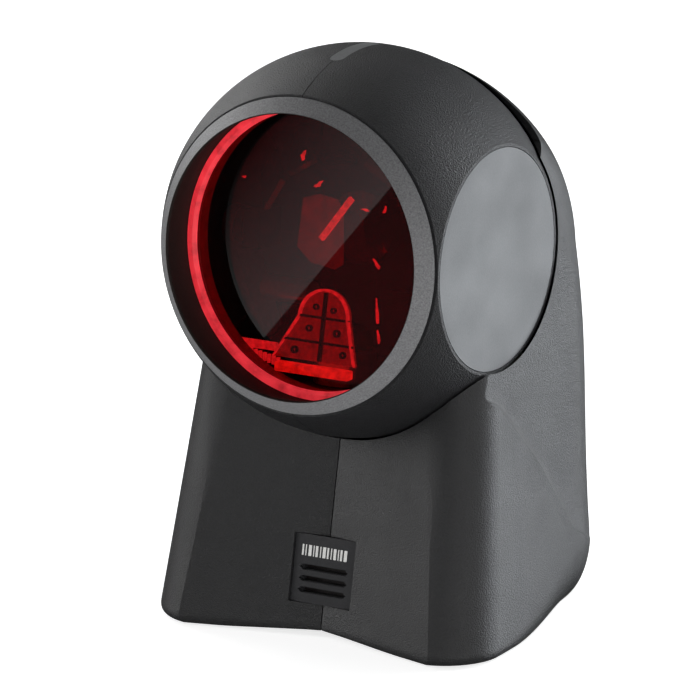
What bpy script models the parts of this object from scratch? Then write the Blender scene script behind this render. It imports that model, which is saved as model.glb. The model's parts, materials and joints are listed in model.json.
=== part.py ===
"""Omnidirectional presentation barcode scanner: a tilting ball head on a hooded base.

Run with:  blender --background --python part.py
World frame: metres, +Z up, -Y is the side the scan window faces, +X is the right-hand side
seen from the front.  The origin is the middle of the footprint on the counter.
Dimensions below are in millimetres and are turned into metres by MM where meshes are made.
"""
import math

import bmesh
import bpy
import numpy as np
from mathutils import Matrix, Vector

MM = 0.001

# ---- driving dimensions (mm) -------------------------------------------------------------
BALL_R = 50.0            # outside radius of the ball head
BALL_Y = -16.0           # ball centre, forward of the footprint's middle
BALL_Z = 100.0           # ball centre above the counter
REST_TILT = 3.56         # window looks up by this many degrees at rest
WALL = 2.0               # moulded wall of the head
SHELL_WALL = 2.2         # moulded wall of the base
PART_GAP = 0.3           # clearance between touching pieces
SEAM_GAP = 0.3           # clearance across the left/right mould seams

# head
FLAT_X = 40.6            # side flats of the ball
FLAT_WALL = 1.0          # wall of the ball behind its side flats
CAP_R = 28.3             # side cap discs
BEZEL_R = 39.96          # outer edge of the bezel, on the ball
BEZEL_EDGE_R = 36.32     # front inner edge of the bezel
BEZEL_EDGE_W = 33.66     # its distance in front of the ball centre
BEZEL_SKIRT_R = 39.3     # the bezel's wall inside the ball
MOUTH_W = 29.2           # the head shells stop at this plane
GLASS_R = 38.0
GLASS_W = 19.6           # front face of the window
GLASS_T = 1.6
RING_INNER_R = 35.6      # window retainer
RING_T = 1.1
PIPE_HALF_X = 1.9        # status light pipe on top of the ball
PIPE_Y = (-15.0, 5.0)
ARM_X = (34.5, 37.5)     # pivot arms inside the ball
ARM_ANGLE = -65.0        # direction in which the arms leave the ball, degrees from +Y
ARM_HALF_W = 4.0
ARM_BOSS_R = 5.0
PIN_R = 2.0
TILT_TRAVEL = 15.0       # tilt to each side of rest, degrees
ARM_SLOT_SPREAD = TILT_TRAVEL + 10.0   # half angle of the slots that let the arms out of the ball

# base
CAVITY_R = 50.6          # spherical seat around the ball
RIM_Z = -99.5            # bottom rim of the shells, from the ball centre
RIM_ARCH = 1.3           # the rim rises by this much under the seam in front
DOME_R = 51.5            # rear dome of the hood
DOME_Y = 6.9
DOME_Z = -4.4
HOOD_HALF_W = 41.2       # flat sides of the hood
HOOD_LEAN = 0.107        # how the back wall leans out, per mm down
HOOD_FLARE = 0.02        # how its sides and back widen, per mm down
HOOD_FULL = 3.0          # the back bulges by this much about one height
HOOD_FULL_Z = -22.0
HOOD_FULL_H = 36.0
LEDGE_H = 0.4            # height of the shoulder's step
STEP_PROUD = 3.2         # the skirt stands at least this far out of the hood's sides
STEP_END_Y = 56.0        # and has run into the hood here
FRONT_FREEZE_Z = -25.0   # above this height the skirt's outline no longer changes

# speaker cover in the V of the front
COVER_HALF_W = 9.0
COVER_TOP = (-15.35, -74.2)
COVER_BOTTOM = (-18.7, -91.3)
COVER_T = 2.6

LOUVRES = 3
LOUVRE_PITCH = 2.9
LOUVRE_HALF = (7.0, 0.75)

# bottom
PLATE_Z = (-98.7, -96.7)
PLATE_PLAY = 0.4         # between the plate's edge and the shells
BALLAST = ((-27.0, -4.0), (27.0, 30.0))
BALLAST_T = 7.7
FOOT_R = 5.0
SCREW_R = 1.5
SCREW_HEAD_R = 2.6
FOOT_SPOTS = ((-32.0, -10.0), (32.0, -10.0), (-26.0, 40.0), (26.0, 40.0))
SCREW_SPOTS = ((-36.0, 2.0), (36.0, 2.0), (-30.5, 24.0), (30.5, 24.0))
SOCKET_SPOT = (0.0, 40.0)      # middle of the cable socket, from the ball axis
SOCKET_HOLE = (12.0, 8.0)      # opening for the modular plug
SOCKET_DEPTH = 12.0
SOCKET_WALL = 2.0
LEAD_BOARD_HALF = (20.0, 12.0)

# optics
SPIN_Y = -4.0            # polygon scanner, spinning about an upright axis in the head
SPIN_Z = -27.0
POLYGON_R = 7.0
POLYGON_H = 5.0
SPINDLE_R = 1.8
MOTOR_R = 8.0
FAN_SPOT = (-1.5, -13.8, -29.5)   # foot of the beam fan bracket
FAN_TIP = -8.0           # it leans back by this many degrees
FAN_FOOT_HALF = 13.0
FAN_TOP_R = 6.0
FAN_HEIGHT = 17.5
FAN_T = 1.2
MIRROR_SIZE = (9.2, 16.0, 1.5)    # each pattern mirror
MIRROR_RING_R = 27.0     # their distance from the middle of the window
MIRROR_TIP = 42.0        # their slope, degrees
FRAME_R = 33.0           # round plate that carries the optics
FRAME_Y = (6.0, 8.0)
BOARD_Y = 12.0
BOARD_T = 1.6

PARTS = "barcode_scanner"
CUTTERS = "cutters"


# ---- scene helpers -----------------------------------------------------------------------
def clear_scene():
    for obj in list(bpy.data.objects):
        bpy.data.objects.remove(obj, do_unlink=True)


def collection(name):
    made = bpy.data.collections.get(name) or bpy.data.collections.new(name)
    if made.name not in bpy.context.scene.collection.children:
        bpy.context.scene.collection.children.link(made)
    return made


def material(name, colour, roughness, metallic=0.0):
    made = bpy.data.materials.new(name)
    made.use_nodes = True
    shader = made.node_tree.nodes["Principled BSDF"]
    shader.inputs["Base Color"].default_value = (*colour, 1.0)
    shader.inputs["Roughness"].default_value = roughness
    shader.inputs["Metallic"].default_value = metallic
    return made


def add_object(name, bm, look=None, parent=None, where=PARTS):
    """Turn a bmesh in millimetres into a named object in metres."""
    bmesh.ops.scale(bm, vec=(MM, MM, MM), verts=bm.verts)
    bmesh.ops.recalc_face_normals(bm, faces=bm.faces)
    mesh = bpy.data.meshes.new(name)
    bm.to_mesh(mesh)
    bm.free()
    obj = bpy.data.objects.new(name, mesh)
    collection(where).objects.link(obj)
    if look is not None:
        mesh.materials.append(look)
    if parent is not None:
        obj.parent = parent
    mesh.shade_smooth()
    mesh.set_sharp_from_angle(angle=math.radians(30.0))
    return obj


def add_cutter(name, bm, parent=None):
    obj = add_object(name, bm, parent=parent, where=CUTTERS)
    obj.hide_render = True
    obj.display_type = "WIRE"
    return obj


def cut(obj, cutter, operation="DIFFERENCE"):
    modifier = obj.modifiers.new(cutter.name, "BOOLEAN")
    modifier.operation = operation
    modifier.solver = "EXACT"
    modifier.object = cutter


def axis_empty(name, location_mm, tilt_deg=0.0):
    empty = bpy.data.objects.new(name, None)
    empty.location = Vector(location_mm) * MM
    empty.rotation_euler = (math.radians(tilt_deg), 0.0, 0.0)
    collection(PARTS).objects.link(empty)
    return empty


# ---- mesh helpers (millimetres) ----------------------------------------------------------
def box(low, high):
    bm = bmesh.new()
    bmesh.ops.create_cube(bm, size=1.0)
    low = Vector(low)
    high = Vector(high)
    bmesh.ops.scale(bm, vec=high - low, verts=bm.verts)
    bmesh.ops.translate(bm, vec=(low + high) / 2.0, verts=bm.verts)
    return bm


AXIS_TURN = {
    "X": Matrix.Rotation(math.radians(90.0), 3, "Y"),
    "Y": Matrix.Rotation(math.radians(-90.0), 3, "X"),
    "Z": Matrix.Identity(3),
}


def rod(axis, radius, start, end, centre=(0.0, 0.0), segments=24):
    """A cylinder along an axis, from start to end, centre given on the other two axes."""
    bm = bmesh.new()
    bmesh.ops.create_cone(bm, cap_ends=True, segments=segments, radius1=radius, radius2=radius,
                          depth=abs(end - start))
    bmesh.ops.rotate(bm, cent=(0, 0, 0), matrix=AXIS_TURN[axis], verts=bm.verts)
    middle = (start + end) / 2.0
    spot = {"X": (middle, *centre), "Y": (centre[0], middle, centre[1]), "Z": (*centre, middle)}[axis]
    bmesh.ops.translate(bm, vec=spot, verts=bm.verts)
    return bm


def ball(radius, segments=44, rings=22):
    """A sphere with its poles on the X axis."""
    bm = bmesh.new()
    bmesh.ops.create_uvsphere(bm, u_segments=segments, v_segments=rings, radius=radius)
    bmesh.ops.rotate(bm, cent=(0, 0, 0), matrix=AXIS_TURN["X"], verts=bm.verts)
    return bm


def slice_off(bm, point, normal):
    """Remove what lies beyond a plane and close the cut with one flat face."""
    geometry = bm.verts[:] + bm.edges[:] + bm.faces[:]
    done = bmesh.ops.bisect_plane(bm, geom=geometry, plane_co=point, plane_no=normal,
                                  clear_outer=True)
    edges = [item for item in done["geom_cut"] if isinstance(item, bmesh.types.BMEdge)]
    bmesh.ops.contextual_create(bm, geom=edges)
    return bm


def turned(profile, axis="Y", segments=40):
    """Revolve a closed outline of (radius, position) points; positions run along -Y or +Z."""
    bm = bmesh.new()
    rings = []
    for step in range(segments):
        angle = 2.0 * math.pi * step / segments
        ring = []
        for radius, place in profile:
            across = radius * math.cos(angle)
            along = radius * math.sin(angle)
            spot = (across, -place, along) if axis == "Y" else (across, along, place)
            ring.append(bm.verts.new(spot))
        rings.append(ring)
    for step in range(segments):
        here = rings[step]
        there = rings[(step + 1) % segments]
        for i in range(len(profile)):
            j = (i + 1) % len(profile)
            bm.faces.new((here[i], here[j], there[j], there[i]))
    return bm


def prism_x(outline, x_low, x_high):
    """Extrude a (y, z) outline along X."""
    bm = bmesh.new()
    lower = [bm.verts.new((x_low, y, z)) for y, z in outline]
    face = bm.faces.new(lower)
    grown = bmesh.ops.extrude_face_region(bm, geom=[face])
    moved = [item for item in grown["geom"] if isinstance(item, bmesh.types.BMVert)]
    bmesh.ops.translate(bm, vec=(x_high - x_low, 0, 0), verts=moved)
    return bm


def prism_y(outline, y_low, y_high):
    """Extrude an (x, z) outline along Y."""
    bm = bmesh.new()
    lower = [bm.verts.new((x, y_low, z)) for x, z in outline]
    face = bm.faces.new(lower)
    grown = bmesh.ops.extrude_face_region(bm, geom=[face])
    moved = [item for item in grown["geom"] if isinstance(item, bmesh.types.BMVert)]
    bmesh.ops.translate(bm, vec=(0, y_high - y_low, 0), verts=moved)
    return bm


def smooth_step(value, low, high):
    t = min(max((value - low) / (high - low), 0.0), 1.0)
    return t * t * (3.0 - 2.0 * t)


# ---- base shell surface ------------------------------------------------------------------
def seam_front_y(z):
    """The valley of the two front panels."""
    return -9.0 + 0.199 * (z + 49.8)


def crease(z):
    """Where a front panel meets its rounded column."""
    fall = -37.3 - z
    return 30.1 + 0.117 * fall, -14.1 - 0.228 * fall


def skirt_half_width(z):
    return 43.0 + 0.098 * (-33.0 - z)


def column_centre_y(z):
    return -5.7 + 0.158 * (z + 54.0)


def hood_section(z):
    """Circle centre, circle radius and flat half width of the hood at a height."""
    fall = max(DOME_Z - z, 0.0)
    rise = max(z - DOME_Z, 0.0)
    full = HOOD_FULL * math.exp(-((z - HOOD_FULL_Z) / HOOD_FULL_H) ** 2)
    radius = math.sqrt(max(DOME_R ** 2 - rise ** 2, 0.01)) + HOOD_FLARE * fall + full
    return DOME_Y + HOOD_LEAN * fall, radius, HOOD_HALF_W + HOOD_FLARE * fall


def skirt_point(u, z):
    """Point of the skirt's outline: u 0-1 front panel, 1-2 column, 2-3 side and back."""
    z = min(z, FRONT_FREEZE_Z)
    crease_x, crease_y = crease(z)
    half = skirt_half_width(z)
    side_y = column_centre_y(z)
    if u <= 1.0:
        return u * crease_x, (1.0 - u) * seam_front_y(z) + u * crease_y
    run = side_y - crease_y
    reach = half - crease_x
    radius = (run ** 2 + reach ** 2) / (2.0 * reach)
    if u <= 2.0:
        start = math.asin(min(run / radius, 1.0))
        angle = -start * (2.0 - u)
        return half - radius + radius * math.cos(angle), side_y + radius * math.sin(angle)
    centre_y, circle, _ = hood_section(z)
    back = centre_y + circle
    power = 2.0 / 3.2
    angle = (u - 2.0) * math.pi / 2.0
    x = half * max(math.cos(angle), 0.0) ** power
    y = side_y + (back - side_y) * math.sin(angle) ** power
    return x, y


def hood_radius(direction, z):
    """Distance from the hood's axis to its outline, flats softly joined to the round back."""
    _, circle, half = hood_section(z)
    side = half / max(abs(direction), 0.05)
    return (circle ** -18.0 + side ** -18.0) ** (-1.0 / 18.0)


SHOULDER = ((-60.0, -31.0), (-12.0, -31.5), (-9.0, -33.0), (-2.0, -38.0), (14.0, -54.0),
            (22.0, -63.0), (36.0, -78.0), (48.0, -84.0), (80.0, -86.0))


def shoulder_z(u):
    """Height of the skirt's top edge above a point of its outline."""
    z = -60.0
    for _ in range(6):
        y = skirt_point(u, z)[1]
        z = float(np.interp(y, [p[0] for p in SHOULDER], [p[1] for p in SHOULDER]))
    return z


def rim_z(u):
    return RIM_Z + RIM_ARCH * (1.0 - smooth_step(u, 0.0, 0.9))


def shell_point(u, z, below_shoulder):
    """A point of the base's outer surface."""
    x, y = skirt_point(u, z)
    centre_y = hood_section(z)[0]
    distance = math.hypot(x, y - centre_y)
    across = x / distance
    along = (y - centre_y) / distance
    hood = hood_radius(across, z)
    if u <= 2.0:
        hood = min(hood, distance)
    side_start = column_centre_y(min(z, FRONT_FREEZE_Z))
    least = STEP_PROUD * smooth_step(y, side_start, side_start + 24.0)
    fade = 1.0 - min(max(y / STEP_END_Y, 0.0), 1.0) ** 1.2
    radius = hood + max(distance - hood, least) * fade if below_shoulder else hood
    rear = smooth_step(y, -18.0, 55.0)
    round_h = 3.0 + 17.0 * rear
    round_in = 2.6 + 7.4 * rear
    sunk = min(max((RIM_Z + round_h - z) / round_h, 0.0), 1.0)
    radius -= round_in * (1.0 - math.sqrt(1.0 - sunk ** 2))
    return across * radius, centre_y + along * radius


OUTLINE_U = ([0.0, 0.5, 1.0] + [1.0 + i / 5.0 for i in range(1, 6)]
             + [2.0 + i / 15.0 for i in range(1, 15)] + [3.0])
LOWER_ROWS = (0.0, 0.012, 0.04, 0.1, 0.2, 0.36, 0.56, 0.78, 1.0)
UPPER_ROWS = (0.2, 0.45, 0.72, 1.0)
DOME_ROWS = tuple(math.radians(angle) for angle in (12, 24, 36, 47, 57, 66, 74, 81))


def shell_rows(inset=0.0):
    """Sections of the base's outer surface, from the rim to the top of the dome."""
    rows = []
    for part in LOWER_ROWS:
        rows.append([(u, rim_z(u) + part * (shoulder_z(u) - rim_z(u)), True) for u in OUTLINE_U])
    rows.append([(u, shoulder_z(u) + LEDGE_H, False) for u in OUTLINE_U])
    for part in UPPER_ROWS:
        rows.append([(u, shoulder_z(u) + LEDGE_H + part * (DOME_Z - shoulder_z(u) - LEDGE_H), False)
                     for u in OUTLINE_U])
    for angle in DOME_ROWS:
        rows.append([(u, DOME_Z + DOME_R * math.sin(angle), False) for u in OUTLINE_U])
    sections = []
    for row in rows:
        section = []
        for u, z, below in row:
            x, y = shell_point(u, z, below)
            if inset:
                centre_y = hood_section(z)[0]
                distance = math.hypot(x, y - centre_y)
                scale = max(distance - inset, 0.3) / distance
                x *= scale
                y = centre_y + (y - centre_y) * scale
                if z > DOME_Z:
                    z = DOME_Z + (z - DOME_Z) * (DOME_R - inset) / DOME_R
            section.append((x, y, z))
        sections.append(section)
    return sections


def loft(sections):
    """Skin closed sections that have the same number of points, and cap both ends."""
    bm = bmesh.new()
    rings = [[bm.verts.new(point) for point in section] for section in sections]
    count = len(rings[0])
    for low, high in zip(rings[:-1], rings[1:]):
        for i in range(count):
            j = (i + 1) % count
            bm.faces.new((low[i], low[j], high[j], high[i]))
    bm.faces.new(reversed(rings[0]))
    bm.faces.new(rings[-1])
    return bm


def half_shell_solid(side):
    """Outer form of one half of the base, closed on its seam plane; side is +1 or -1."""
    sections = []
    for row in shell_rows():
        sections.append([(side * max(x, SEAM_GAP / 2.0), y, z) for x, y, z in row])
    return loft(sections)


def inner_solid():
    """Room inside the base, running out through the open bottom."""
    rows = shell_rows(SHELL_WALL)
    floor = [(x, y, RIM_Z - 2.0) for x, y, _ in rows[0]]
    sections = []
    for row in [floor] + rows:
        left = [(-x, y, z) for x, y, z in reversed(row[1:-1])]
        sections.append(row + left)
    return loft(sections)


# ---- base parts --------------------------------------------------------------------------
FRONT_CUT = ((-75.0, 62.0), (22.0, 62.0), (22.8, 46.0), (25.0, 35.3), (26.5, 29.0), (26.0, 25.0),
             (21.0, 21.0), (0.0, 15.0), (-75.0, 15.0))


def cover_frame():
    """Middle of the speaker cover's front face and its lean from upright, in radians."""
    run = COVER_BOTTOM[0] - COVER_TOP[0]
    rise = COVER_BOTTOM[1] - COVER_TOP[1]
    middle = ((COVER_TOP[0] + COVER_BOTTOM[0]) / 2.0, (COVER_TOP[1] + COVER_BOTTOM[1]) / 2.0)
    return middle, math.atan2(run, rise) - math.pi, math.hypot(run, rise)


def lean(bm):
    """Move a piece drawn about the cover's front face to its leaning place."""
    (y, z), angle, _ = cover_frame()
    bmesh.ops.rotate(bm, cent=(0, 0, 0), matrix=Matrix.Rotation(-angle, 3, "X"), verts=bm.verts)
    bmesh.ops.translate(bm, vec=(0, y, z), verts=bm.verts)
    return bm


def make_base_shells(base, look):
    cavity = add_cutter("cut_ball_seat", ball(CAVITY_R, 56, 28), base)
    room = add_cutter("cut_room", inner_solid(), base)
    front = add_cutter("cut_hood_front", prism_x(FRONT_CUT, -70.0, 70.0), base)
    half_h = cover_frame()[2] / 2.0 + PART_GAP
    half_w = COVER_HALF_W + PART_GAP
    window = add_cutter("cut_cover_window",
                        lean(box((-half_w, -6.0, -half_h), (half_w, 14.0, half_h))), base)
    for name, side in (("base_shell_right", 1), ("base_shell_left", -1)):
        shell = add_object(name, half_shell_solid(side), look, base)
        for cutter in (room, cavity, front, window):
            cut(shell, cutter)


def make_speaker_cover(base, look):
    half_h = cover_frame()[2] / 2.0
    cover = add_object("speaker_cover",
                       lean(box((-COVER_HALF_W, 0.0, -half_h), (COVER_HALF_W, COVER_T, half_h))),
                       look, base)
    half, rise = LOUVRE_HALF
    for number in range(LOUVRES):
        middle = PART_GAP - LOUVRE_PITCH * number
        outline = [(-half, middle), (0.8 * -half, middle - rise), (0.8 * half, middle - rise),
                   (half, middle), (0.8 * half, middle + rise), (0.8 * -half, middle + rise)]
        cut(cover, add_cutter(f"cut_louvre_{number + 1}", lean(prism_y(outline, -3.0, 6.0)), base))


def make_speaker(base, look):
    """A small round driver behind the louvres."""
    profile = ((0.4, -COVER_T - 1.0), (6.5, -COVER_T - 1.0), (8.0, -COVER_T - 0.6),
               (8.0, -COVER_T - 3.0), (5.0, -COVER_T - 5.5), (0.4, -COVER_T - 5.5))
    add_object("speaker_driver", lean(turned(profile, segments=28)), look, base)


def make_bottom(base, look):
    rim = shell_rows(SHELL_WALL + PLATE_PLAY)[0]
    outline = [(x, y) for x, y, _ in rim] + [(-x, y) for x, y, _ in reversed(rim[1:-1])]
    plate = add_object("bottom_plate", loft([[(x, y, z) for x, y in outline] for z in PLATE_Z]),
                       look, base)
    half_x = SOCKET_HOLE[0] / 2.0 + 1.0
    half_y = SOCKET_HOLE[1] / 2.0 + 1.0
    x, y = SOCKET_SPOT
    window = box((x - half_x, y - half_y, -102.0), (x + half_x, y + half_y, -90.0))
    cut(plate, add_cutter("cut_plug_window", window, base))
    for number, spot in enumerate(SCREW_SPOTS, 1):
        hole = rod("Z", SCREW_R + 0.4, -102.0, -90.0, spot, 16)
        cut(plate, add_cutter(f"cut_screw_{number}", hole, base))


def make_ballast(base, look):
    low = PLATE_Z[1] + PART_GAP
    weight = box((*BALLAST[0], low), (*BALLAST[1], low + BALLAST_T))
    add_object("ballast_weight", weight, look, base)


def make_feet(base, look):
    for number, spot in enumerate(FOOT_SPOTS, 1):
        foot = rod("Z", FOOT_R, -BALL_Z, PLATE_Z[0] - PART_GAP, spot, 28)
        add_object(f"foot_pad_{number}", foot, look, base)


def make_screws(base, look):
    low, high = PLATE_Z
    profile = ((0.3, low - 1.0), (SCREW_HEAD_R, low - 1.0), (SCREW_HEAD_R, low - 0.3),
               (SCREW_R, low - 0.3), (SCREW_R, high + 2.0), (0.3, high + 2.4))
    for number, (x, y) in enumerate(SCREW_SPOTS, 1):
        bm = turned(profile, "Z", 16)
        bmesh.ops.translate(bm, vec=(x, y, 0), verts=bm.verts)
        add_object(f"plate_screw_{number}", bm, look, base)


def make_socket(base, look, board_look):
    x, y = SOCKET_SPOT
    half_x = SOCKET_HOLE[0] / 2.0
    half_y = SOCKET_HOLE[1] / 2.0
    wide = half_x + SOCKET_WALL
    deep = half_y + SOCKET_WALL
    low = PLATE_Z[1] + PART_GAP
    high = low + SOCKET_DEPTH
    body = box((x - wide, y - deep, low), (x + wide, y + deep, high + SOCKET_WALL))
    socket = add_object("cable_socket", body, look, base)
    room = box((x - half_x, y - half_y, low - 5.0), (x + half_x, y + half_y, high))
    cut(socket, add_cutter("cut_plug_room", room, base))
    top = high + SOCKET_WALL + PART_GAP
    wide, deep = LEAD_BOARD_HALF
    board = box((x - wide, y - deep, top), (x + wide, y + deep, top + BOARD_T))
    add_object("interface_board", board, board_look, base)


def arm_outline():
    """Side view of a pivot arm: a round boss on the tilt axis and a leg down to the bottom plate."""
    leg = math.radians(ARM_ANGLE)
    direction = Vector((math.cos(leg), math.sin(leg)))
    normal = Vector((-direction.y, direction.x))
    knee = direction * 56.0
    points = []
    for step in range(9):
        angle = leg + math.radians(90.0 + 180.0 * step / 8.0)
        points.append((ARM_BOSS_R * math.cos(angle), ARM_BOSS_R * math.sin(angle)))
    right = knee - normal * ARM_HALF_W
    left = knee + normal * ARM_HALF_W
    floor = PLATE_Z[1] + PART_GAP
    points.append((right.x - 1.0, right.y))
    points.append((right.x - 8.0, floor))
    points.append((left.x + 6.0, floor))
    points.append((left.x, left.y))
    return points


def make_arms(base, look):
    for word, side in (("right", 1), ("left", -1)):
        low, high = sorted((side * ARM_X[0], side * ARM_X[1]))
        arm = add_object(f"pivot_arm_{word}", prism_x(arm_outline(), low, high), look, base)
        hole = rod("X", PIN_R + PART_GAP, low - 3.0, high + 3.0, segments=20)
        cut(arm, add_cutter(f"cut_pivot_{word}", hole, base))


def make_washers(base, look):
    thick = 2.3
    profile = ((PIN_R + 0.4, 0.0), (4.8, 0.0), (4.8, thick), (PIN_R + 0.4, thick))
    inner = ARM_X[0] - PART_GAP
    for word, start in (("right", inner - thick), ("left", -inner)):
        washer = turned(profile, "Z", 24)
        bmesh.ops.rotate(washer, cent=(0, 0, 0), matrix=AXIS_TURN["X"], verts=washer.verts)
        bmesh.ops.translate(washer, vec=(start, 0, 0), verts=washer.verts)
        add_object(f"friction_washer_{word}", washer, look, base)


def make_pins(head, look):
    for word, side in (("right", 1), ("left", -1)):
        low, high = sorted((side * 31.3, side * (ARM_X[1] + 0.7)))
        add_object(f"pivot_pin_{word}", rod("X", PIN_R, low, high, segments=20), look, head)


# ---- head parts --------------------------------------------------------------------------
def arm_slot_outline():
    """Sector that an arm sweeps through the ball's wall over the tilt travel."""
    points = [(0.0, 0.0)]
    for step in range(7):
        angle = math.radians(ARM_ANGLE + REST_TILT + ARM_SLOT_SPREAD * (step / 3.0 - 1.0))
        points.append((60.0 * math.cos(angle), 60.0 * math.sin(angle)))
    return points


def make_head_shells(head, look):
    inner = slice_off(ball(BALL_R - WALL), (FLAT_X - FLAT_WALL, 0, 0), (1, 0, 0))
    inner = slice_off(inner, (-FLAT_X + FLAT_WALL, 0, 0), (-1, 0, 0))
    room = add_cutter("cut_head_room", inner, head)
    mouth = add_cutter("cut_mouth", rod("Y", BEZEL_SKIRT_R + PART_GAP, -70.0, -12.0, segments=60), head)
    caps = add_cutter("cut_caps", rod("X", CAP_R + PART_GAP, -60.0, 60.0, segments=48), head)
    pipe = add_cutter("cut_pipe", box((-PIPE_HALF_X - PART_GAP, PIPE_Y[0] - PART_GAP, 40.0),
                                      (PIPE_HALF_X + PART_GAP, PIPE_Y[1] + PART_GAP, 60.0)), head)
    for word, side in (("right", 1), ("left", -1)):
        solid = slice_off(ball(BALL_R), (side * FLAT_X, 0, 0), (side, 0, 0))
        solid = slice_off(solid, (side * SEAM_GAP / 2.0, 0, 0), (-side, 0, 0))
        solid = slice_off(solid, (0, -MOUTH_W, 0), (0, -1, 0))
        shell = add_object(f"head_shell_{word}", solid, look, head)
        low, high = sorted((side * (ARM_X[0] - 1.0), side * (ARM_X[1] + 1.0)))
        slot = add_cutter(f"cut_arm_slot_{word}", prism_x(arm_slot_outline(), low, high), head)
        for cutter in (room, mouth, caps, pipe, slot):
            cut(shell, cutter)


def make_side_caps(head, look):
    for word, side in (("right", 1), ("left", -1)):
        low, high = sorted((side * (FLAT_X - FLAT_WALL), side * FLAT_X))
        add_object(f"side_cap_{word}", rod("X", CAP_R, low, high, segments=48), look, head)


def make_light_pipe(head, look):
    pipe = add_object("status_light_pipe",
                      box((-PIPE_HALF_X, PIPE_Y[0], 44.5), (PIPE_HALF_X, PIPE_Y[1], 51.0)), look, head)
    shape = add_cutter("cut_pipe_outside", ball(BALL_R, 64, 48), head)
    cut(pipe, shape, "INTERSECT")


def make_bezel(head, look):
    profile = ((BEZEL_EDGE_R, BEZEL_EDGE_W), (BEZEL_EDGE_R - 0.3, BEZEL_EDGE_W - 1.0),
               (GLASS_R + 0.4, GLASS_W + RING_T + 1.0), (GLASS_R + 0.4, GLASS_W - GLASS_T - 0.4),
               (BEZEL_SKIRT_R, GLASS_W - GLASS_T - 0.4), (BEZEL_SKIRT_R, MOUTH_W + 0.1),
               (BEZEL_R, MOUTH_W + 0.3), (BEZEL_R, 30.05))
    add_object("front_bezel", turned(profile, segments=60), look, head)


def make_window(head, glass_look, ring_look):
    ring = ((RING_INNER_R, GLASS_W + PART_GAP), (GLASS_R, GLASS_W + PART_GAP),
            (GLASS_R, GLASS_W + PART_GAP + RING_T), (RING_INNER_R, GLASS_W + PART_GAP + RING_T))
    add_object("window_retainer", turned(ring, segments=56), ring_look, head)
    glass = rod("Y", GLASS_R, -GLASS_W, -GLASS_W + GLASS_T, segments=56)
    add_object("scan_window", glass, glass_look, head)


def make_optics_frame(head, look):
    """A round plate with a lug at each pivot pin and a shelf below for the motor."""
    outline = [(FRAME_R * math.cos(2 * math.pi * i / 36), FRAME_R * math.sin(2 * math.pi * i / 36))
               for i in range(36)]
    frame = add_object("optics_frame", prism_y(outline, *FRAME_Y), look, head)
    additions = {
        "join_lug_right": ((26.5, -5.0, -5.0), (31.0, 7.0, 5.0)),
        "join_lug_left": ((-31.0, -5.0, -5.0), (-26.5, 7.0, 5.0)),
        "join_shelf": ((-9.0, -14.0, -37.6), (9.0, 7.0, -36.0)),
        "join_web": ((-9.0, 5.0, -37.6), (9.0, 7.5, -30.0)),
    }
    for name, (low, high) in additions.items():
        cut(frame, add_cutter(name, box(low, high), head), "UNION")


def fan_outline():
    """A bell outline that stands on z 0: straight legs and a round top."""
    points = [(-FAN_FOOT_HALF, 0.0)]
    for step in range(9):
        angle = math.pi * (1.0 - step / 8.0)
        points.append((FAN_TOP_R * math.cos(angle),
                       FAN_HEIGHT - FAN_TOP_R + FAN_TOP_R * math.sin(angle)))
    points.append((FAN_FOOT_HALF, 0.0))
    return points


def tip_and_place(bm):
    """Lean a piece drawn standing at the origin back and set it on the bracket's spot."""
    turn = Matrix.Rotation(math.radians(FAN_TIP), 3, "X")
    bmesh.ops.rotate(bm, cent=(0, 0, 0), matrix=turn, verts=bm.verts)
    bmesh.ops.translate(bm, vec=FAN_SPOT, verts=bm.verts)
    return bm


def make_fan(head, look):
    plate = tip_and_place(prism_y(fan_outline(), 0.0, FAN_T))
    fan = add_object("beam_fan_bracket", plate, look, head)
    ribs = (((-0.6, -0.9, 0.2), (0.6, 0.4, 16.8)), ((-10.5, -0.9, 4.6), (10.5, 0.4, 5.5)),
            ((-8.0, -0.9, 10.4), (8.0, 0.4, 11.3)))
    for number, (low, high) in enumerate(ribs, 1):
        cut(fan, add_cutter(f"join_rib_{number}", tip_and_place(box(low, high)), head), "UNION")


def make_strip_mirror(head, look):
    x, y, z = FAN_SPOT
    strip = box((x - 12.0, y - 2.6, z - 3.8), (x + 12.0, y + 0.6, z - 0.6))
    add_object("beam_strip_mirror", strip, look, head)


def make_pattern_mirrors(head, look):
    """Five slanted mirrors in an arch over the polygon."""
    half = Vector(MIRROR_SIZE) / 2.0
    slope = Matrix.Rotation(math.radians(MIRROR_TIP), 3, "X")
    for number in range(5):
        around = math.radians(30.0 + 30.0 * number)
        spin = Matrix.Rotation(math.pi / 2.0 - around, 3, "Y")
        mirror = box(-half, half)
        bmesh.ops.rotate(mirror, cent=(0, 0, 0), matrix=slope, verts=mirror.verts)
        bmesh.ops.translate(mirror, vec=(0, -4.0, MIRROR_RING_R), verts=mirror.verts)
        bmesh.ops.rotate(mirror, cent=(0, 0, 0), matrix=spin, verts=mirror.verts)
        add_object(f"pattern_mirror_{number + 1}", mirror, look, head)


def make_detector(head, mirror_look, sensor_look):
    profile = ((0.4, -3.2), (9.5, -1.2), (9.5, -5.6), (0.4, -5.6))
    dish = turned(profile, segments=28)
    bmesh.ops.translate(dish, vec=(0, 0, 3.0), verts=dish.verts)
    add_object("collecting_mirror", dish, mirror_look, head)
    add_object("photodetector", box((12.0, -3.0, -17.0), (20.0, 2.0, -11.0)), sensor_look, head)


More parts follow.
